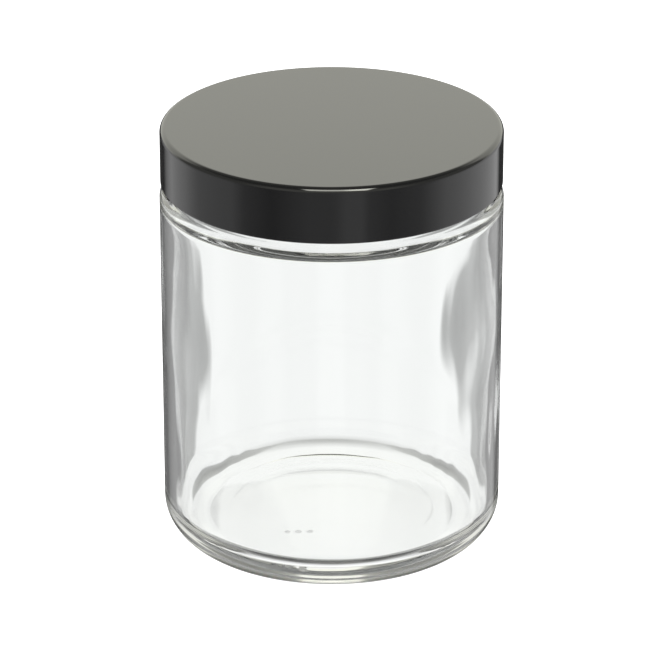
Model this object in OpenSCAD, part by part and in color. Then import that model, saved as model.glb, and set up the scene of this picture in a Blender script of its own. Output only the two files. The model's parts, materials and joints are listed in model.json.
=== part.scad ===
// Straight-sided glass specimen jar with a screw cap and a loose three-ply liner.
// The jar stands on the XY plane and its axis is +Z. Lengths are in millimetres and angles in degrees.
// The cap is drawn screwed down. Turning it by one turn about +Z lifts it by one thread pitch.

/* [Jar] */
// Outside diameter of the straight body
jar_d = 73.5; // [50:0.5:110]
// Height of the bare jar, from the surface it stands on to its rim
jar_h = 90.3; // [60:0.1:160]
// Thickness of the body's wall
wall_t = 2.4; // [1.8:0.1:4]
// Thickness of the base at the edge of its floor
base_t = 5.6; // [4:0.1:9]
// Outside radius between the body and the base
heel_r = 8; // [3:0.5:10]
// Inside radius between the wall and the floor
floor_r = 3.8; // [1.5:0.1:6]
// Rise of the floor from its edge to its middle
floor_crown = 0.6; // [0.1:0.1:1.5]
// Width of the ring that the jar stands on
foot_w = 1.8; // [1:0.1:4]
// Depth of the hollow under the base
pushup_h = 1.5; // [0.5:0.1:3]

/* [Shoulder and neck] */
// How far the neck stands in from the body, on the radius
shoulder_w = 3.05; // [2.5:0.05:6]
// Outside radius where the body turns in to the shoulder
shoulder_r = 1.9; // [1:0.1:2.2]
// Rise of the shoulder towards the neck
shoulder_slope = 12; // [4:1:25]
// Thickness of the glass under the shoulder
ledge_t = 2.8; // [2.2:0.1:4]
// Slope of the inside under the shoulder, from level
ledge_slope = 15; // [0:1:30]
// Thickness of the neck's wall, without the thread
neck_t = 2.5; // [2:0.1:4]
// Radius of the rim's two edges
rim_r = 0.6; // [0.2:0.1:0.9]

/* [Thread] */
// Rise of the thread in one turn
pitch = 4.233; // [3:0.001:6]
// Turns of the ridge on the neck
jar_turns = 1.25; // [1:0.05:1.6]
// Height of the ridge on the neck
ridge_h = 1.05; // [0.8:0.05:1.4]
// Width of the neck's ridge at its foot
jar_ridge_w = 2.6; // [2:0.1:2.8]
// Width of the cap's ridge at its foot
cap_ridge_w = 2.2; // [1.6:0.1:2.4]
// Slope of the ridges' flanks
flank = 30; // [10:1:35]
// From the rim down to the middle of the ridge's upper end
thread_start = 2.6; // [2.2:0.1:4]
// From the lower end of the ridge down to the shoulder
thread_relief = 1.1; // [0.8:0.1:3]
// Length of the run-out at each end of a ridge
run_out = 24; // [15:1:40]

/* [Cap] */
// Thickness of the cap's skirt
skirt_t = 1.5; // [1.2:0.1:3]
// Thickness of the cap's top
top_t = 2.2; // [1.2:0.1:4]
// Radius of the cap's top edge
cap_edge_r = 1.2; // [0.3:0.1:1.4]
// Chamfers at the mouth of the skirt
mouth_chamfer = 0.4; // [0.2:0.1:0.5]
// Turns of the ridge in the cap
cap_turns = 1.05; // [0.8:0.05:1.2]
// From the mouth of the skirt up to the foot of its ridge
cap_lead = 0.8; // [0.5:0.1:2]

/* [Liner] */
// Thickness of the foamed core
core_t = 0.8; // [0.5:0.1:2]
// Thickness of each film on the core
film_t = 0.1; // [0.1:0.05:0.3]

/* [Fits] */
// Gap between the thread's crest and the cap's bore, and between the cap's ridge and the neck
thread_gap = 0.27; // [0.15:0.01:0.4]
// Gap along the axis between the flanks that bear on each other
flank_gap = 0.12; // [0.08:0.01:0.3]
// Gap under the cap's skirt
skirt_gap = 1.3; // [0.8:0.1:3]
// Gap between the liner's edge and the cap's bore
liner_gap = 0.2; // [0.1:0.05:0.5]
// Gap on each face of the liner
seal_gap = 0.05; // [0.03:0.01:0.1]

/* [Hidden] */
$fn = 180;

// Radii of the jar, from the axis
jar_r = jar_d / 2;
cavity_r = jar_r - wall_t;
foot_r = jar_r - heel_r;
hollow_r = foot_r - foot_w;
neck_r = jar_r - shoulder_w;
mouth_r = neck_r - neck_t;

// Heights of the jar
neck_h = thread_start + jar_turns * pitch + jar_ridge_w / 2 + thread_relief;
neck_z = jar_h - neck_h;
ledge_z = neck_z - ledge_t;
shoulder_in = shoulder_w - shoulder_r * (1 - sin(shoulder_slope));
corner_z = neck_z - shoulder_in * tan(shoulder_slope) - shoulder_r * cos(shoulder_slope);
ledge_turn = 90 - ledge_slope;
ledge_sum = (cavity_r - mouth_r) / (1 - cos(ledge_turn));
ledge_r = ledge_sum * 0.4;
ledge_lip_r = ledge_sum - ledge_r;

// The cap and its liner
cap_bore_r = neck_r + ridge_h + thread_gap;
cap_r = cap_bore_r + skirt_t;
skirt_z = neck_z + skirt_gap;
liner_z = jar_h + seal_gap;
ceiling_z = liner_z + core_t + 2 * film_t + seal_gap;
cap_z = ceiling_z + top_t;
liner_r = cap_bore_r - liner_gap;

// The two ridges lie on one helix, the cap's set down by the room that the two ridges take
jar_thread_z = jar_h - thread_start - jar_turns * pitch;
cap_thread_z = skirt_z + cap_lead + cap_ridge_w / 2;
ridge_shift = (jar_ridge_w + cap_ridge_w) / 2 - (cap_bore_r - neck_r) * tan(flank) + flank_gap;
cap_thread_angle = 360 * (cap_thread_z + ridge_shift - jar_thread_z) / pitch;
root_depth = 0.6;
ring_step = 5;
arc_steps = 12;

// Points of an arc about [cx, cz], from angle a0 to angle a1
function arc(cx, cz, r, a0, a1) =
    [for (i = [0:arc_steps]) let (a = a0 + (a1 - a0) * i / arc_steps) [cx + r * cos(a), cz + r * sin(a)]];

// Points of a shallow dome from its middle, at height z + h, to its edge at radius r and height z
function dome(r, z, h) =
    let (sphere_r = (r * r + h * h) / (2 * h))
    [for (i = [0:arc_steps]) let (x = r * i / arc_steps) [x, z + h - sphere_r + sqrt(sphere_r * sphere_r - x * x)]];

// How much of its full height a ridge has at an angle, from 0 at its ends to 1
function rise(a, sweep) = sin(90 * min(1, a / run_out, (sweep - a) / run_out));

// One section of a ridge: its root is sunk in the wall and its crest stands out of it
function section(a, z, root_r, crest_r, foot_w, foot_r) =
    let (root_w = foot_w + 2 * abs(foot_r - root_r) * tan(flank),
         crest_w = root_w - 2 * abs(crest_r - root_r) * tan(flank))
    [for (p = [[root_r, -root_w], [crest_r, -crest_w], [crest_r, crest_w], [root_r, root_w]])
        [p[0] * cos(a), p[0] * sin(a), z + p[1] / 2]];

// A helical ridge that stands out of a wall at radius foot_r, outwards or inwards to crest_r
module ridge(start_angle, start_z, turns, foot_r, crest_r, foot_w) {
    sweep = turns * 360;
    rings = ceil(sweep / ring_step);
    out = sign(crest_r - foot_r);
    root_r = foot_r - out * root_depth;
    buried_r = root_r + out * root_depth / 8;
    points = [for (i = [0:rings]) let (a = sweep * i / rings)
        each section(start_angle + a, start_z + pitch * a / 360, root_r,
                     buried_r + (crest_r - buried_r) * rise(a, sweep), foot_w, foot_r)];
    sides = [for (i = [0:rings - 1], j = [0:3]) let (k = 4 * i, n = (j + 1) % 4)
        each [[k + j, k + n, k + 4 + n], [k + j, k + 4 + n, k + 4 + j]]];
    last = 4 * rings;
    ends = [[3, 2, 1], [3, 1, 0], [last, last + 1, last + 2], [last, last + 2, last + 3]];
    faces = concat(sides, ends);
    polyhedron(points, out > 0 ? faces : [for (f = faces) [f[2], f[1], f[0]]], convexity = 6);
}

// Half section of the glass, from the middle of the base up the outside and down the inside
function jar_outline() = concat(
    dome(hollow_r, 0, pushup_h),
    arc(foot_r, heel_r, heel_r, -90, 0),
    arc(jar_r - shoulder_r, corner_z, shoulder_r, 0, 90 - shoulder_slope),
    [[neck_r, neck_z]],
    arc(neck_r - rim_r, jar_h - rim_r, rim_r, 0, 90),
    arc(mouth_r + rim_r, jar_h - rim_r, rim_r, 90, 180),
    arc(mouth_r + ledge_lip_r, ledge_z + ledge_lip_r * sin(ledge_turn), ledge_lip_r, 180, 180 + ledge_turn),
    arc(cavity_r - ledge_r, ledge_z - ledge_r * sin(ledge_turn), ledge_r, ledge_turn, 0),
    arc(cavity_r - floor_r, base_t + floor_r, floor_r, 0, -90),
    [for (i = [1:arc_steps]) dome(cavity_r - floor_r, base_t, floor_crown)[arc_steps - i]]
);

module glass_jar() {
    color("lightcyan", 0.45)
    union() {
        rotate_extrude() polygon(jar_outline());
        ridge(0, jar_thread_z, jar_turns, neck_r, neck_r + ridge_h, jar_ridge_w);
    }
}

// Half section of the cap, from the middle of its top out, down the skirt and back under the top
function cap_outline() = concat(
    [[0, cap_z]],
    arc(cap_r - cap_edge_r, cap_z - cap_edge_r, cap_edge_r, 90, 0),
    [[cap_r, skirt_z + mouth_chamfer], [cap_r - mouth_chamfer, skirt_z]],
    [[cap_bore_r + mouth_chamfer, skirt_z], [cap_bore_r, skirt_z + mouth_chamfer]],
    [[cap_bore_r, ceiling_z], [0, ceiling_z]]
);

module screw_cap() {
    color([0.08, 0.08, 0.08])
    union() {
        rotate_extrude() polygon(cap_outline());
        ridge(cap_thread_angle, cap_thread_z, cap_turns, cap_bore_r, neck_r + thread_gap, cap_ridge_w);
    }
}

// One ply of the liner, with its lower face at height z
module ply(z, t) {
    translate([0, 0, z]) cylinder(h = t, r = liner_r);
}

module liner_lower_skin() {
    color("white") ply(liner_z, film_t);
}

module liner_core() {
    color("whitesmoke") ply(liner_z + film_t, core_t);
}

module liner_upper_skin() {
    color("white") ply(liner_z + film_t + core_t, film_t);
}

glass_jar();
screw_cap();
liner_upper_skin();
liner_core();
liner_lower_skin();
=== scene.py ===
"""A glass specimen jar with a black screw cap and a foamed liner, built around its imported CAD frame.

The jar stands on the XY plane with its axis along +Z. Lengths are in metres.
"""

import json
import math

import bmesh
import bpy
from bpy.props import FloatProperty, FloatVectorProperty, IntProperty, PointerProperty
from mathutils import Euler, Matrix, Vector, noise


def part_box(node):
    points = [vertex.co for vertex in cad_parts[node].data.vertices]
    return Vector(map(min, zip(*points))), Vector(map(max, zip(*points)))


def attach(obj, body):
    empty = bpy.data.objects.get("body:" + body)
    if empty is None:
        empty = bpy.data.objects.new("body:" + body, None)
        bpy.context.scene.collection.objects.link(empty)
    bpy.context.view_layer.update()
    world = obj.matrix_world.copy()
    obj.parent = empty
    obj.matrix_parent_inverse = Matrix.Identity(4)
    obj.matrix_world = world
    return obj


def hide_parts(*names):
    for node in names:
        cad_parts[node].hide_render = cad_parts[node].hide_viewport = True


bl_info = {
    "name": "Specimen Jar",
    "version": (1, 0, 0),
    "blender": (4, 5, 0),
    "location": "View3D > Sidebar > Specimen Jar",
    "description": "Makes a glass specimen jar, its screw cap and its liner",
    "category": "Add Mesh",
}

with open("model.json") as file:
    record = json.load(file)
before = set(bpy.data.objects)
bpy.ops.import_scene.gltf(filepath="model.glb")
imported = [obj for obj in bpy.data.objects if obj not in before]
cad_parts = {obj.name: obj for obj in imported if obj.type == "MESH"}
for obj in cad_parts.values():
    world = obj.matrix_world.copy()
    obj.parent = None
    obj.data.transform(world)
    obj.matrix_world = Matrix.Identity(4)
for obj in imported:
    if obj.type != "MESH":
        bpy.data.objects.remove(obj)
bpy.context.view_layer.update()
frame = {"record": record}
MM = 0.001
FULL_TURN = 2 * math.pi
# A vertex this close to a wall's radius is on that wall
ON_WALL = 0.02 * MM
# Runs of a wall shorter than this are already fine enough for the thread
SHORT_RUN = 0.2 * MM
THREAD_CUTS = 6

glass_low, glass_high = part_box("glass_jar")
cap_low, cap_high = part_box("screw_cap")
core_low, core_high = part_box("liner_core")
film_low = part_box("liner_lower_skin")[0]
film_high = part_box("liner_upper_skin")[1]

# Three small round marks under the base
MARKS = [Vector((-9.5 + 2.4 * i, -13.0, 1.2)) * MM for i in range(3)]
# Rise of the thread in one turn
THREAD_PITCH = frame["record"]["behaviour"]["couplings"][0]["ratio"] * FULL_TURN


# ---------------------------------------------------------------- sizes and colours


def length(name, description, default):
    return FloatProperty(
        name=name,
        description=description,
        default=default,
        min=0.0,
        subtype="DISTANCE",
        unit="LENGTH",
        precision=5,
    )


def tilt(name, description, degrees):
    return FloatProperty(name=name, description=description, default=math.radians(degrees), subtype="ANGLE")


def count(name, description, default, low):
    return IntProperty(name=name, description=description, default=default, min=low)


def number(name, description, default, high=1.0):
    return FloatProperty(name=name, description=description, default=default, min=0.0, max=high)


def colour(name, description, default):
    return FloatVectorProperty(
        name=name, description=description, default=default, min=0.0, max=1.0, size=3, subtype="COLOR"
    )


class JarSizes(bpy.types.PropertyGroup):
    """Sizes and finish of the glass."""

    radius: length("Radius", "Outside radius of the body", glass_high.x)
    height: length("Height", "Height of the bare jar to its rim", glass_high.z)
    wall: length("Wall", "Thickness of the body's wall", 2.4 * MM)
    base: length("Base", "Thickness of the base at the edge of its floor", 5.6 * MM)
    heel_radius: length("Heel radius", "Outside radius between body and base", 8 * MM)
    floor_radius: length("Floor radius", "Inside radius between wall and floor", 3.8 * MM)
    floor_crown: length("Floor crown", "Rise of the floor to its middle", 0.6 * MM)
    foot: length("Foot", "Width of the ring that the jar stands on", 1.8 * MM)
    hollow: length("Hollow", "Depth of the hollow under the base", 1.5 * MM)
    ring_radius: length("Ring radius", "Radius of the mould ring under the base", 22 * MM)
    ring_step: length("Ring step", "Step in the base at the mould ring", 0.025 * MM)
    ring_width: length("Ring width", "Width of that step", 0.8 * MM)
    mark_radius: length("Mark radius", "Radius of each small round mark", 0.7 * MM)
    mark_depth: length("Mark depth", "Depth of each small round mark", 0.06 * MM)
    shoulder_radius: length("Shoulder radius", "Outside radius of the shoulder", 1.9 * MM)
    shoulder_width: length("Shoulder width", "How far the neck stands in from the body", 3.05 * MM)
    shoulder_slope: tilt("Shoulder slope", "Rise of the shoulder", 12)
    ledge: length("Ledge", "Thickness of the glass under the shoulder", 2.8 * MM)
    ledge_slope: tilt("Ledge slope", "Slope of the inside under the shoulder", 15)
    neck_wall: length("Neck wall", "Thickness of the neck's wall", 2.5 * MM)
    neck_height: length("Neck height", "From the shoulder to the rim", 10.291 * MM)
    rim_radius: length("Rim radius", "Radius of the rim's edges", 0.6 * MM)
    thread_start: length("Thread start", "From the rim to the ridge's upper end", 2.6 * MM)
    thread_height: length("Thread height", "Height of the ridge", 1.05 * MM)
    thread_width: length("Thread width", "Width of the ridge at its foot", 2.6 * MM)
    thread_turns: number("Thread turns", "Turns of the ridge", 1.25, 3.0)
    unevenness: length("Unevenness", "How far the inside wanders from true round", 0.08 * MM)
    streaks: length("Streaks", "Depth of the fine upright waves in the wall", 0.018 * MM)
    floor_waves: length("Floor waves", "How far the floor wanders up and down", 0.1 * MM)
    columns: count("Columns", "Faces round the axis", 256, 32)
    tint: colour("Tint", "Colour of the glass", (0.985, 0.995, 0.99))
    index: number("Index", "Refractive index of the glass", 1.52, 3.0)


class CapSizes(bpy.types.PropertyGroup):
    """Sizes and finish of the screw cap."""

    radius: length("Radius", "Outside radius of the cap", cap_high.x)
    bottom: length("Bottom", "Height of the mouth of the skirt", cap_low.z)
    top: length("Top", "Height of the cap's top", cap_high.z)
    skirt: length("Skirt", "Thickness of the skirt", 1.5 * MM)
    top_thickness: length("Top thickness", "Thickness of the cap's top", 2.2 * MM)
    edge_radius: length("Edge radius", "Radius of the top's edge", 1.2 * MM)
    mouth_radius: length("Mouth radius", "Radius of the skirt's lower edges", 0.4 * MM)
    thread_lead: length("Thread lead", "From the skirt's mouth to the foot of its ridge", 0.8 * MM)
    thread_height: length("Thread height", "Height of the ridge", 1.05 * MM)
    thread_width: length("Thread width", "Width of the ridge at its foot", 2.2 * MM)
    thread_turns: number("Thread turns", "Turns of the ridge", 1.05, 3.0)
    flank: tilt("Flank", "Slope of the ridges' flanks", 30)
    flank_gap: length("Flank gap", "Gap between the bearing flanks of the two ridges", 0.12 * MM)
    columns: count("Columns", "Faces round the axis", 256, 32)
    black: colour("Black", "Colour of the moulding", (0.006, 0.006, 0.0062))
    roughness: number("Roughness", "Roughness of the moulded gloss", 0.06)


class LinerSizes(bpy.types.PropertyGroup):
    """Sizes and finish of the three-ply liner."""

    radius: length("Radius", "Radius of the disc", core_high.x)
    print_depth: length("Print depth", "Depth of the ring that the rim presses in", 0.12 * MM)
    columns: count("Columns", "Faces round the axis", 192, 32)
    foam: colour("Foam", "Colour of the foamed core", (0.82, 0.82, 0.80))
    film: colour("Film", "Colour of the films", (0.86, 0.86, 0.85))


class StageSettings(bpy.types.PropertyGroup):
    """The floor, the light and the camera."""

    floor_size: length("Floor", "Side of the floor", 8.0)
    floor_shade: colour("Floor shade", "Colour of the floor", (0.82, 0.82, 0.82))
    floor_glow: number("Floor glow", "Light that the table gives of itself", 1.0, 5.0)
    backdrop_shade: colour("Backdrop shade", "Colour of the backdrop in the gloss", (0.8, 0.8, 0.72))
    sky_shade: colour("Sky shade", "Colour of the soft light", (0.8, 0.8, 0.8))
    bounces: count("Bounces", "Turns that light may take inside the glass", 24, 4)
    sky: number("Sky", "Strength of the soft light on everything", 1.25, 5.0)
    lens: number("Lens", "Focal length in millimetres", 220.1, 1000.0)
    distance: length("Distance", "From the camera to the jar's middle", 0.8541)
    aim_height: length("Aim height", "Height of the point that the camera looks at", 46.31 * MM)
    elevation: tilt("Elevation", "Camera above the horizon", 23.9)
    shift_x: FloatProperty(name="Shift X", description="Sideways lens shift", default=-0.0142)
    shift_y: FloatProperty(name="Shift Y", description="Upward lens shift", default=0.0097)


# ---------------------------------------------------------------- shader maths


class Value:
    """A number from a shader node, for use in Python expressions."""

    def __init__(self, nodes, socket):
        self.nodes, self.socket = nodes, socket

    def maths(self, operation, *values):
        return self.nodes.add("ShaderNodeMath", {"operation": operation}, list(values))

    def __add__(self, other):
        return self.maths("ADD", self, other)

    def __sub__(self, other):
        return self.maths("SUBTRACT", self, other)

    def __rsub__(self, other):
        return self.maths("SUBTRACT", other, self)

    def __mul__(self, other):
        return self.maths("MULTIPLY", self, other)

    def __truediv__(self, other):
        return self.maths("DIVIDE", self, other)

    __radd__ = __add__
    __rmul__ = __mul__


class Nodes:
    """The nodes of one material or of the world."""

    def __init__(self, owner):
        owner.use_nodes = True
        self.tree = owner.node_tree
        self.tree.nodes.clear()

    def add(self, kind, settings=None, inputs=None, output=0):
        """A node of this type, with its settings first and then the values or links of its sockets."""
        node = self.tree.nodes.new(kind)
        for name, value in (settings or {}).items():
            if name == "stops":
                for extra in range(len(value) - len(node.color_ramp.elements)):
                    node.color_ramp.elements.new(0.5)
                for element, (place, level) in zip(node.color_ramp.elements, value):
                    element.position = place
                    element.color = (level, level, level, 1.0)
            elif name == "blend":
                node.color_ramp.interpolation = value
            else:
                setattr(node, name, value)
        pairs = inputs.items() if isinstance(inputs, dict) else enumerate(inputs or [])
        for key, value in pairs:
            if isinstance(value, Value):
                self.tree.links.new(value.socket, node.inputs[key])
            else:
                node.inputs[key].default_value = value
        return Value(self, node.outputs[output]) if node.outputs else node

    def noise(self, scale, detail, stretch=(1.0, 1.0, 1.0)):
        """Noise on Object coordinates, finer along an axis by its stretch."""
        here = self.add("ShaderNodeTexCoord", output="Object")
        place = self.add("ShaderNodeMapping", inputs={"Vector": here, "Scale": stretch})
        return self.add("ShaderNodeTexNoise", inputs={"Vector": place, "Scale": scale, "Detail": detail})

    def ease(self, value, start, stop):
        """Goes smoothly from 0 to 1 as a value goes from start to stop."""
        settings = {"interpolation_type": "SMOOTHSTEP"}
        inputs = {"Value": value, "From Min": start, "From Max": stop}
        return self.add("ShaderNodeMapRange", settings, inputs)

    def distance(self, here, there):
        """Distance from one place to another."""
        settings = {"operation": "DISTANCE"}
        return self.add("ShaderNodeVectorMath", settings, [here, tuple(there)], output="Value")

    def radius(self, here):
        """Distance from the axis."""
        flat = self.add("ShaderNodeVectorMath", {"operation": "MULTIPLY"}, [here, (1.0, 1.0, 0.0)])
        return self.add("ShaderNodeVectorMath", {"operation": "LENGTH"}, [flat], output="Value")

    def bump(self, height, strength, distance):
        inputs = {"Strength": strength, "Distance": distance, "Height": height}
        return self.add("ShaderNodeBump", inputs=inputs)

    def finish(self, shader):
        self.add("ShaderNodeOutputMaterial", inputs={"Surface": shader})


def clear_glass(sizes):
    """Flint glass: clear and smooth, with the faint ripple of fire-polished glass."""
    material = bpy.data.materials.new("clear_flint_glass")
    nodes = Nodes(material)
    ripple = nodes.noise(160.0, 1.0, (1.0, 1.0, 0.35))
    clouds = nodes.noise(70.0, 2.0)
    here = nodes.add("ShaderNodeTexCoord", output="Object")
    height = nodes.add("ShaderNodeSeparateXYZ", inputs=[here], output="Z")
    frost = 0.0
    for mark in MARKS:
        frost = nodes.ease(nodes.distance(here, mark), 0.9 * MM, 0.6 * MM) * 0.35 + frost
    under = nodes.ease(height, 2.4 * MM, 2.0 * MM) * nodes.ease(nodes.radius(here), 24.0 * MM, 16.0 * MM)
    shader = nodes.add(
        "ShaderNodeBsdfPrincipled",
        inputs={
            "Base Color": (*sizes.tint, 1.0),
            "Roughness": under * clouds * 0.04 + frost,
            "IOR": sizes.index,
            "Transmission Weight": 1.0,
            "Normal": nodes.bump(ripple, 0.25, 0.05 * MM),
        },
    )
    nodes.finish(shader)
    return material


def black_phenolic(sizes):
    """Moulded phenolic: near black and glossy, with a fine flow mottle and small handling marks."""
    material = bpy.data.materials.new("black_phenolic_gloss")
    nodes = Nodes(material)
    mottle = nodes.noise(900.0, 3.0)
    marks = nodes.noise(240.0, 2.0, (1.0, 1.0, 6.0))
    flow = nodes.noise(90.0, 1.0)
    shader = nodes.add(
        "ShaderNodeBsdfPrincipled",
        inputs={
            "Base Color": (*sizes.black, 1.0),
            "Roughness": sizes.roughness + (marks - 0.5) * 0.05 + (mottle - 0.5) * 0.03,
            "IOR": 1.6,
            "Normal": nodes.bump(flow, 0.12, 0.03 * MM),
        },
    )
    nodes.finish(shader)
    return material


def foam(sizes):
    """Closed-cell polyethylene foam: white and matte, with its cells as fine bump."""
    material = bpy.data.materials.new("white_foam")
    nodes = Nodes(material)
    here = nodes.add("ShaderNodeTexCoord", output="Object")
    cells = nodes.add("ShaderNodeTexVoronoi", {"feature": "F1"}, {"Vector": here, "Scale": 3500.0})
    shade = nodes.noise(400.0, 2.0)
    tone = nodes.add(
        "ShaderNodeMix",
        {"data_type": "RGBA"},
        {"Factor": shade * 0.6, "A": (*sizes.foam, 1.0), "B": (*[0.9 * c for c in sizes.foam], 1.0)},
        output="Result",
    )
    shader = nodes.add(
        "ShaderNodeBsdfPrincipled",
        inputs={
            "Base Color": tone,
            "Roughness": 0.85,
            "Normal": nodes.bump(cells, 0.5, 0.08 * MM),
        },
    )
    nodes.finish(shader)
    return material


def film(sizes):
    """Solid polyethylene film: white, satin, with soft creases from the foam behind it."""
    material = bpy.data.materials.new("satin_film")
    nodes = Nodes(material)
    creases = nodes.noise(700.0, 2.0)
    shine = nodes.noise(150.0, 2.0)
    shader = nodes.add(
        "ShaderNodeBsdfPrincipled",
        inputs={
            "Base Color": (*sizes.film, 1.0),
            "Roughness": 0.32 + (shine - 0.5) * 0.2,
            "Normal": nodes.bump(creases, 0.3, 0.05 * MM),
        },
    )
    nodes.finish(shader)
    return material


# ---------------------------------------------------------------- modelling


def arc(centre_r, centre_z, radius, start, stop, steps=12):
    """Points of an arc in the half section, from one angle to another in degrees."""
    angles = [math.radians(start + (stop - start) * i / steps) for i in range(steps + 1)]
    return [(centre_r + radius * math.cos(a), centre_z + radius * math.sin(a)) for a in angles]


def dome(radius, height, rise, steps=10):
    """Points of a shallow dome from its middle to its edge."""
    ball = (radius**2 + rise**2) / (2 * rise)
    reach = [radius * i / steps for i in range(steps + 1)]
    return [(x, height + rise - ball + math.sqrt(ball**2 - x**2)) for x in reach]


def lathe(outline, columns, longest):
    """A solid of revolution: a half section whose long runs are cut shorter, spun about the axis."""
    bm = bmesh.new()
    corners = [bm.verts.new((r, 0.0, z)) for r, z in outline]
    runs = [bm.edges.new(pair) for pair in zip(corners, corners[1:])]
    for run in runs:
        cuts = math.ceil(run.calc_length() / longest) - 1
        if cuts > 0:
            bmesh.ops.subdivide_edges(bm, edges=[run], cuts=cuts)
    bmesh.ops.spin(
        bm,
        geom=bm.verts[:] + bm.edges[:],
        cent=(0.0, 0.0, 0.0),
        axis=(0.0, 0.0, 1.0),
        angle=FULL_TURN,
        steps=columns,
        use_merge=True,
    )
    bmesh.ops.remove_doubles(bm, verts=bm.verts[:], dist=0.002 * MM)
    bmesh.ops.recalc_face_normals(bm, faces=bm.faces[:])
    return bm


def smooth_step(x):
    x = min(1.0, max(0.0, x))
    return x * x * (3 - 2 * x)


def ridge(angle, z, start_angle, start_z, turns, width, run_out=math.radians(24)):
    """Height, from 0 to 1, of a rounded helical ridge at a place on its wall."""
    flank = 0.3 * width
    best = 0.0
    for turn in range(math.ceil(turns) + 1):
        sweep = (angle - start_angle) % FULL_TURN + turn * FULL_TURN
        ends = min(sweep, turns * FULL_TURN - sweep)
        if ends <= 0:
            continue
        off = abs(z - start_z - THREAD_PITCH * sweep / FULL_TURN)
        best = max(best, smooth_step((width / 2 - off) / flank) * smooth_step(ends / run_out))
    return best


def split_wall(bm, wall, low, high):
    """Cuts the upright edges of a round wall finely between two heights, to take a thread."""

    def on_wall(vertex):
        return abs(math.hypot(vertex.co.x, vertex.co.y) - wall) < ON_WALL and low < vertex.co.z < high

    rows = [
        edge
        for edge in bm.edges
        if all(map(on_wall, edge.verts)) and abs(edge.verts[0].co.z - edge.verts[1].co.z) > SHORT_RUN
    ]
    bmesh.ops.subdivide_edges(bm, edges=rows, cuts=THREAD_CUTS)


def push_out(vertex, distance):
    """Moves a vertex away from the axis."""
    radius = max(math.hypot(vertex.co.x, vertex.co.y), 0.001 * MM)
    vertex.co.x *= 1 + distance / radius
    vertex.co.y *= 1 + distance / radius


def shaped(name, bm, material, body, nodes, sharp=math.radians(40)):
    """Turns a bmesh into a piece that rides on a body and stands for CAD nodes."""
    mesh = bpy.data.meshes.new(name)
    bm.to_mesh(mesh)
    bm.free()
    mesh.polygons.foreach_set("use_smooth", [True] * len(mesh.polygons))
    mesh.set_sharp_from_angle(angle=sharp)
    mesh.materials.append(material)
    piece = bpy.data.objects.new(name, mesh)
    bpy.context.scene.collection.objects.link(piece)
    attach(piece, body)
    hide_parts(*nodes)
    return piece


class Glass:
    """The places on the jar that more than one feature needs."""

    def __init__(self, s):
        self.cavity = s.radius - s.wall
        self.foot = s.radius - s.heel_radius
        self.neck = s.radius - s.shoulder_width
        self.mouth = self.neck - s.neck_wall
        self.neck_z = s.height - s.neck_height
        self.ledge_z = self.neck_z - s.ledge
        self.thread_z = s.height - s.thread_start - s.thread_turns * THREAD_PITCH


def jar_outline(s, g):
    """Half section of the glass, from under the base up the outside and down the inside."""
    slope = s.shoulder_slope
    corner_r = s.radius - s.shoulder_radius
    shoulder_in = s.shoulder_width - s.shoulder_radius * (1 - math.sin(slope))
    corner_z = g.neck_z - shoulder_in * math.tan(slope) - s.shoulder_radius * math.cos(slope)
    fillet = 0.8 * MM
    fillet_z = g.neck_z + fillet * (1 / math.cos(slope) - math.tan(slope))
    # Under the shoulder two arcs meet at the ledge's slope, the outer one smaller
    turn = math.pi / 2 - s.ledge_slope
    both = (g.cavity - g.mouth) / (1 - math.cos(turn))
    step, lip = 0.4 * both, 0.6 * both
    inner_floor = dome(g.cavity - s.floor_radius, s.base, s.floor_crown)
    return [
        *dome(g.foot - s.foot, 0.0, s.hollow, 60),
        *arc(g.foot, s.heel_radius, s.heel_radius, -90, 0, 20),
        *arc(corner_r, corner_z, s.shoulder_radius, 0, 90 - math.degrees(slope)),
        *arc(g.neck + fillet, fillet_z, fillet, 270 - math.degrees(slope), 180, 6),
        *arc(g.neck - s.rim_radius, s.height - s.rim_radius, s.rim_radius, 0, 90, 8),
        *arc(g.mouth + s.rim_radius, s.height - s.rim_radius, s.rim_radius, 90, 180, 8),
        *arc(g.mouth + lip, g.ledge_z + lip * math.sin(turn), lip, 180, 180 + math.degrees(turn)),
        *arc(g.cavity - step, g.ledge_z - step * math.sin(turn), step, math.degrees(turn), 0),
        *arc(g.cavity - s.floor_radius, s.base + s.floor_radius, s.floor_radius, 0, -90),
        *reversed(inner_floor[:-1]),
    ]


def wander(place, size, stretch):
    """Smooth noise in -1 to 1 over the glass, drawn out along the axis by stretch."""
    return noise.noise(Vector((place.x / size, place.y / size, place.z / (size * stretch))))


# Places where the inside stands in or out: degrees round from the front, towards +X; height, half width,
# half height and how far the wall stands in, all in millimetres
SWELLS = (
    (56, 55, 9, 11, 0.42),
    (-58, 51, 6, 9, 0.14),
    (-58, 74, 7, 7, -0.08),
    (-59, 25, 7, 8, -0.12),
    (59, 76, 7, 6, -0.16),
    (60, 27, 7, 8, -0.14),
    (-90, 42, 5, 5, -0.14),
    (90, 50, 6, 6, -0.14),
    (90, 31, 6, 6, 0.1),
)


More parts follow.
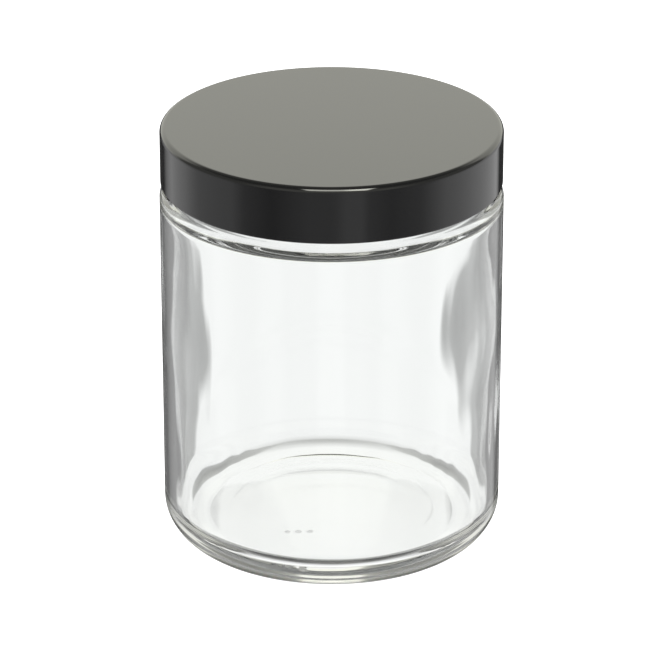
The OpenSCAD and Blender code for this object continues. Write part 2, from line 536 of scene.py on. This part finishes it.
class JarGlass(bpy.types.Operator):
    """Make the glass jar with its threaded neck and hollow base"""

    bl_idname = "specimen_jar.glass"
    bl_label = "Glass jar"

    def execute(self, context):
        s = context.scene.jar_sizes
        g = Glass(s)
        bm = lathe(jar_outline(s, g), s.columns, 1.6 * MM)
        self.cut_thread(bm, s, g)
        self.uneven_inside(bm, s, g)
        self.mark_base(bm, s, g)
        bmesh.ops.recalc_face_normals(bm, faces=bm.faces[:])
        shaped("jar_glass", bm, clear_glass(s), "jar", ["glass_jar"])
        return {"FINISHED"}

    def cut_thread(self, bm, s, g):
        """Splits the neck's wall finely and pushes the ridge out of it."""
        top = s.height - s.thread_start
        split_wall(bm, g.neck, g.thread_z - s.thread_width, top + s.thread_width)
        for vertex in bm.verts:
            radius = math.hypot(vertex.co.x, vertex.co.y)
            if abs(radius - g.neck) < ON_WALL and vertex.co.z > g.neck_z + 0.5 * MM:
                angle = math.atan2(vertex.co.y, vertex.co.x)
                rise = ridge(angle, vertex.co.z, 0.0, g.thread_z, s.thread_turns, s.thread_width)
                if rise > 0:
                    push_out(vertex, s.thread_height * rise)

    def uneven_inside(self, bm, s, g):
        """The inside was shaped by air alone, so its wall and floor wander a little."""
        inside = s.radius - 0.5 * s.wall
        for vertex in bm.verts:
            place = vertex.co.copy()
            radius = math.hypot(place.x, place.y)
            if radius > inside or place.z < s.base - 0.01 * MM or place.z > g.ledge_z + 0.1 * MM:
                continue
            on_wall = smooth_step((radius - (g.cavity - 2.2 * s.floor_radius)) / (2.2 * s.floor_radius))
            below_ledge = smooth_step((g.ledge_z - place.z) / (6 * MM))
            long_waves = wander(place + Vector((0.011, 0.004, 0.03)), 13 * MM, 4.0)
            short_waves = wander(place + Vector((0.05, 0.02, 0.0)), 6 * MM, 6.0)
            streaks = s.streaks * wander(place + Vector((0.07, 0.01, 0.0)), 2.4 * MM, 14.0)
            move = s.unevenness * (0.8 * long_waves + 0.25 * short_waves) + streaks
            move *= 0.3 + 0.7 * below_ledge
            push_out(vertex, (move - self.swell(place, g.cavity)) * on_wall)
            on_floor = smooth_step((g.cavity - radius) / (1.5 * s.floor_radius))
            vertex.co.z += s.floor_waves * wander(place + Vector((0.02, 0.03, 0.0)), 11 * MM, 1.0) * on_floor

    def swell(self, place, wall):
        """How far the swells bring the wall in at this place."""
        around = math.degrees(math.atan2(place.x, -place.y))
        total = 0.0
        for angle, height, half_width, half_height, depth in SWELLS:
            across = math.radians((around - angle + 180) % 360 - 180) * wall / (half_width * MM)
            along = (place.z / MM - height) / half_height
            total += depth * MM * smooth_step(1 - math.hypot(across, along) / 1.6)
        return total

    def mark_base(self, bm, s, g):
        """The mould's ring and three small round dots under the base."""
        for vertex in bm.verts:
            radius = math.hypot(vertex.co.x, vertex.co.y)
            if vertex.co.z > s.hollow + 0.2 * MM or radius > g.foot - s.foot:
                continue
            vertex.co.z += s.ring_step * smooth_step((s.ring_radius - radius) / s.ring_width + 0.5)
            for mark in MARKS:
                off = (vertex.co.xy - mark.xy).length
                vertex.co.z += s.mark_depth * smooth_step(1.5 - off / s.mark_radius)


class ScrewCap(bpy.types.Operator):
    """Make the moulded screw cap with its internal thread"""

    bl_idname = "specimen_jar.cap"
    bl_label = "Screw cap"

    def execute(self, context):
        s = context.scene.cap_sizes
        bore = s.radius - s.skirt
        ceiling = s.top - s.top_thickness
        bm = lathe(self.outline(s, bore, ceiling), s.columns, 2.0 * MM)
        self.cut_thread(bm, context.scene.jar_sizes, s, bore)
        bmesh.ops.recalc_face_normals(bm, faces=bm.faces[:])
        shaped("cap_moulding", bm, black_phenolic(s), "cap", ["screw_cap"])
        return {"FINISHED"}

    def outline(self, s, bore, ceiling):
        """Half section of the cap. A short run beside each rounded edge keeps the flats flat."""
        hold = 0.12 * MM
        edge, mouth = s.edge_radius, s.mouth_radius
        return [
            (0.0, s.top),
            (s.radius - edge - hold, s.top),
            *arc(s.radius - edge, s.top - edge, edge, 90, 0, 12),
            (s.radius, s.top - edge - hold),
            (s.radius, s.bottom + mouth + hold),
            *arc(s.radius - mouth, s.bottom + mouth, mouth, 0, -90, 6),
            *arc(bore + mouth, s.bottom + mouth, mouth, -90, -180, 6),
            (bore, s.bottom + mouth + hold),
            (bore, ceiling - hold),
            (bore, ceiling),
            (bore - hold, ceiling),
            (0.0, ceiling),
        ]

    def cut_thread(self, bm, jar, s, bore):
        """Pushes the cap's ridge in from its bore, on the same helix as the neck's but set down below it."""
        g = Glass(jar)
        start_z = s.bottom + s.thread_lead + s.thread_width / 2
        overlap = (bore - g.neck) * math.tan(s.flank)
        room = (jar.thread_width + s.thread_width) / 2 - overlap + s.flank_gap
        start_angle = FULL_TURN * (start_z + room - g.thread_z) / THREAD_PITCH
        top = start_z + s.thread_turns * THREAD_PITCH
        split_wall(bm, bore, start_z - s.thread_width, top + s.thread_width)
        for vertex in bm.verts:
            if abs(math.hypot(vertex.co.x, vertex.co.y) - bore) < ON_WALL:
                angle = math.atan2(vertex.co.y, vertex.co.x)
                rise = ridge(angle, vertex.co.z, start_angle, start_z, s.thread_turns, s.thread_width)
                if rise > 0:
                    push_out(vertex, -s.thread_height * rise)


class Liner(bpy.types.Operator):
    """Make the liner's foamed core and its two films"""

    bl_idname = "specimen_jar.liner"
    bl_label = "Three-ply liner"

    def execute(self, context):
        s = context.scene.liner_sizes
        g = Glass(context.scene.jar_sizes)
        plies = [
            ("liner_film_under", film_low.z, core_low.z, film(s), "liner_film", "liner_lower_skin"),
            ("liner_foam_core", core_low.z, core_high.z, foam(s), "liner_foam", "liner_core"),
            ("liner_film_over", core_high.z, film_high.z, film(s), "liner_film", "liner_upper_skin"),
        ]
        for name, low, high, material, slot, node in plies:
            bm = lathe([(0.0, low), (s.radius, low), (s.radius, high), (0.0, high)], s.columns, 0.8 * MM)
            depth = 0.5 * s.print_depth * (film_high.z - (low + high) / 2) / (film_high.z - film_low.z)
            self.print_rim(bm, g, depth)
            bmesh.ops.recalc_face_normals(bm, faces=bm.faces[:])
            shaped(name, bm, material, "liner", [node])
        return {"FINISHED"}

    def print_rim(self, bm, g, depth):
        """Presses the rim's ring into the faces below the middle of the core."""
        middle = (core_low.z + core_high.z) / 2
        for vertex in bm.verts:
            if vertex.co.z < middle:
                off = abs(math.hypot(vertex.co.x, vertex.co.y) - (g.neck + g.mouth) / 2)
                vertex.co.z += depth * smooth_step((g.neck - g.mouth - off) / (0.8 * MM) - 0.6)


# ---------------------------------------------------------------- stage

# Light that comes through the glass, by degrees off straight behind: (degrees, level)
THROUGH_GLASS = (
    (0, 1.26), (7.2, 1.26), (9, 0.52), (13, 0.36), (20, 0.24), (38, 0.24), (42, 1.0),
    (52, 1.0), (56, 0.8), (78, 0.8), (83, 1.05), (97, 1.05), (102, 0.8), (124, 0.8), (128, 1.05),
    (142, 1.05), (146, 0.8), (168, 0.8), (172, 1.1), (180, 1.1),
)
# What is left of that light on steep rays, which end in the shade under the jar: (degrees of rise, level)
STEEP = ((-90, 0.12), (-64, 0.12), (-58, 0.3), (-53, 0.55), (-48, 0.86), (-41, 1.0), (50, 1.0), (90, 0.6))
# Light that the gloss sees below the horizon, by degrees to the right of straight behind
GLOSS_BELOW = (
    (-180, 0.4), (-165, 0.4), (-140, 0.16), (-120, 0.35), (-110, 0.7), (-80, 0.75), (-65, 1.1), (-45, 1.1),
    (-35, 0.5), (-28, 0.06), (-9, 0.06), (-6, 0.8), (6, 0.8), (9, 0.06), (28, 0.06), (36, 1.2), (70, 1.25),
    (98, 1.0), (118, 0.4), (140, 0.26), (155, 0.4), (160, 0.65), (170, 0.65), (178, 0.42),
)
# The white backdrop that the gloss sees above the horizon: by degrees off straight behind, then by rise
BACKDROP_ROUND = ((0, 1.75), (54, 1.75), (66, 0.3), (120, 0.3), (140, 0.6), (180, 0.6))
BACKDROP_UP = ((0, 1.0), (33, 1.0), (45, 0.15), (90, 0.1))
DARK_ABOVE = 0.14
# The softbox above the camera: its light along X and along Y, each a part of the ray's direction
SOFTBOX_LEVEL = 13.0
SOFTBOX_X = (
    (-1, 0.0), (-0.26, 0.0), (-0.22, 0.6), (0.1, 0.6), (0.18, 1.0), (0.33, 1.0), (0.38, 0.0), (1, 0.0),
)
SOFTBOX_Y = ((-1, 0.0), (-0.82, 0.0), (-0.75, 1.0), (-0.46, 1.0), (-0.38, 0.0), (1, 0.0))


class Stage(bpy.types.Operator):
    """Set up the floor, the soft light and the camera"""

    bl_idname = "specimen_jar.stage"
    bl_label = "Stage"

    def execute(self, context):
        s = context.scene.stage_settings
        self.floor(s)
        self.surround(context.scene, s)
        self.camera(context.scene, s)
        context.scene.view_settings.view_transform = "Standard"
        light = context.scene.cycles
        light.max_bounces = s.bounces + 8
        light.glossy_bounces = s.bounces
        light.transmission_bounces = s.bounces
        return {"FINISHED"}

    def floor(self, s):
        """A pale table that gives light of its own. Glass and gloss look past it, at the surround."""
        bm = bmesh.new()
        bmesh.ops.create_grid(bm, x_segments=8, y_segments=8, size=s.floor_size / 2)
        bmesh.ops.translate(bm, verts=bm.verts[:], vec=(0.0, 0.0, -0.02 * MM))
        mesh = bpy.data.meshes.new("floor")
        bm.to_mesh(mesh)
        bm.free()
        material = bpy.data.materials.new("pale_floor")
        nodes = Nodes(material)
        nodes.finish(
            nodes.add(
                "ShaderNodeBsdfPrincipled",
                inputs={
                    "Base Color": (*s.floor_shade, 1.0),
                    "Roughness": 0.9,
                    "Specular IOR Level": 0.0,
                    "Emission Color": (1.0, 1.0, 1.0, 1.0),
                    "Emission Strength": s.floor_glow,
                },
            )
        )
        mesh.materials.append(material)
        floor = bpy.data.objects.new("floor", mesh)
        bpy.context.scene.collection.objects.link(floor)
        floor.visible_transmission = False
        floor.visible_glossy = False

    def surround(self, scene, s):
        """White walls with dark cards between them, as a studio sets them to draw the edges of glass."""
        world = bpy.data.worlds.new("studio")
        scene.world = world
        nodes = Nodes(world)
        ray = nodes.add("ShaderNodeTexCoord", output="Generated")
        split = nodes.add("ShaderNodeSeparateXYZ", inputs=[ray])
        x, y, z = (Value(nodes, split.socket.node.outputs[i]) for i in range(3))
        angle = x.maths("ARCTAN2", x, y) * (180 / math.pi)
        off = angle.maths("ABSOLUTE", angle)
        rise = z.maths("ARCSINE", z) * (180 / math.pi)
        lean = rise.maths("ABSOLUTE", rise)
        flat = self.levels(nodes, lean, ((0, 1.0), (42, 1.0), (55, 0.0), (90, 0.0)), (0, 90))
        cards = self.levels(nodes, off, THROUGH_GLASS, (0, 180))
        through = (1 + (cards - 1) * flat) * self.levels(nodes, rise, STEEP, (-90, 90))
        below = self.levels(nodes, angle, GLOSS_BELOW, (-180, 180))
        backdrop = self.levels(nodes, off, BACKDROP_ROUND, (0, 180))
        backdrop *= self.levels(nodes, rise, BACKDROP_UP, (0, 90))
        softbox = self.levels(nodes, x, SOFTBOX_X, (-1, 1)) * self.levels(nodes, y, SOFTBOX_Y, (-1, 1))
        above = DARK_ABOVE + backdrop + softbox * SOFTBOX_LEVEL
        up = z.maths("GREATER_THAN", z, 0.0)
        gloss = below * (1 - up) + above * up
        path = nodes.add("ShaderNodeLightPath", output="Is Camera Ray")
        outputs = path.socket.node.outputs
        is_glossy = Value(nodes, outputs["Is Glossy Ray"])
        is_through = Value(nodes, outputs["Is Transmission Ray"])
        plain = 1 - is_glossy.maths("MAXIMUM", is_glossy, is_through)
        level = through * is_through + gloss * (is_glossy * (1 - is_through)) + plain * s.sky
        tint = nodes.add(
            "ShaderNodeMix",
            {"data_type": "RGBA"},
            {"Factor": is_glossy * up, "A": (*s.sky_shade, 1.0), "B": (*s.backdrop_shade, 1.0)},
            output="Result",
        )
        background = nodes.add("ShaderNodeBackground", inputs={"Color": tint, "Strength": level})
        nodes.add("ShaderNodeOutputWorld", inputs={"Surface": background})

    def levels(self, nodes, value, stops, span):
        """A level that changes with a value along a row of stops, each (value, level)."""
        low, high = span
        highest = max(level for _, level in stops)
        scaled = [((at - low) / (high - low), level / highest) for at, level in stops]
        place = (value - low) / (high - low)
        ramp = nodes.add("ShaderNodeValToRGB", {"blend": "LINEAR", "stops": scaled}, [place])
        return ramp * highest

    def camera(self, scene, s):
        data = bpy.data.cameras.new("camera")
        data.lens = s.lens
        data.shift_x, data.shift_y = s.shift_x, s.shift_y
        data.clip_start, data.clip_end = 0.05, 50.0
        camera = bpy.data.objects.new("camera", data)
        aim = Vector((0.0, 0.0, s.aim_height))
        back = Vector((0.0, -math.cos(s.elevation), math.sin(s.elevation)))
        camera.location = aim + back * s.distance
        camera.rotation_euler = Euler((math.pi / 2 - s.elevation, 0.0, 0.0))
        scene.collection.objects.link(camera)
        scene.camera = camera


# ---------------------------------------------------------------- add-on

GROUPS = {
    "jar_sizes": JarSizes,
    "cap_sizes": CapSizes,
    "liner_sizes": LinerSizes,
    "stage_settings": StageSettings,
}
MAKERS = (JarGlass, ScrewCap, Liner, Stage)


class SpecimenJarPanel(bpy.types.Panel):
    """Buttons that make each piece"""

    bl_idname = "VIEW3D_PT_specimen_jar"
    bl_label = "Specimen jar"
    bl_space_type = "VIEW_3D"
    bl_region_type = "UI"
    bl_category = "Specimen Jar"

    def draw(self, context):
        for maker in MAKERS:
            self.layout.operator(maker.bl_idname)


def register():
    for kind in (*GROUPS.values(), *MAKERS, SpecimenJarPanel):
        bpy.utils.register_class(kind)
    for name, kind in GROUPS.items():
        setattr(bpy.types.Scene, name, PointerProperty(type=kind))


def unregister():
    for name in GROUPS:
        delattr(bpy.types.Scene, name)
    for kind in (SpecimenJarPanel, *reversed(MAKERS), *reversed(list(GROUPS.values()))):
        bpy.utils.unregister_class(kind)


def main():
    register()
    for maker in MAKERS:
        group, name = maker.bl_idname.split(".")
        getattr(getattr(bpy.ops, group), name)()


if __name__ == "__main__":
    main()
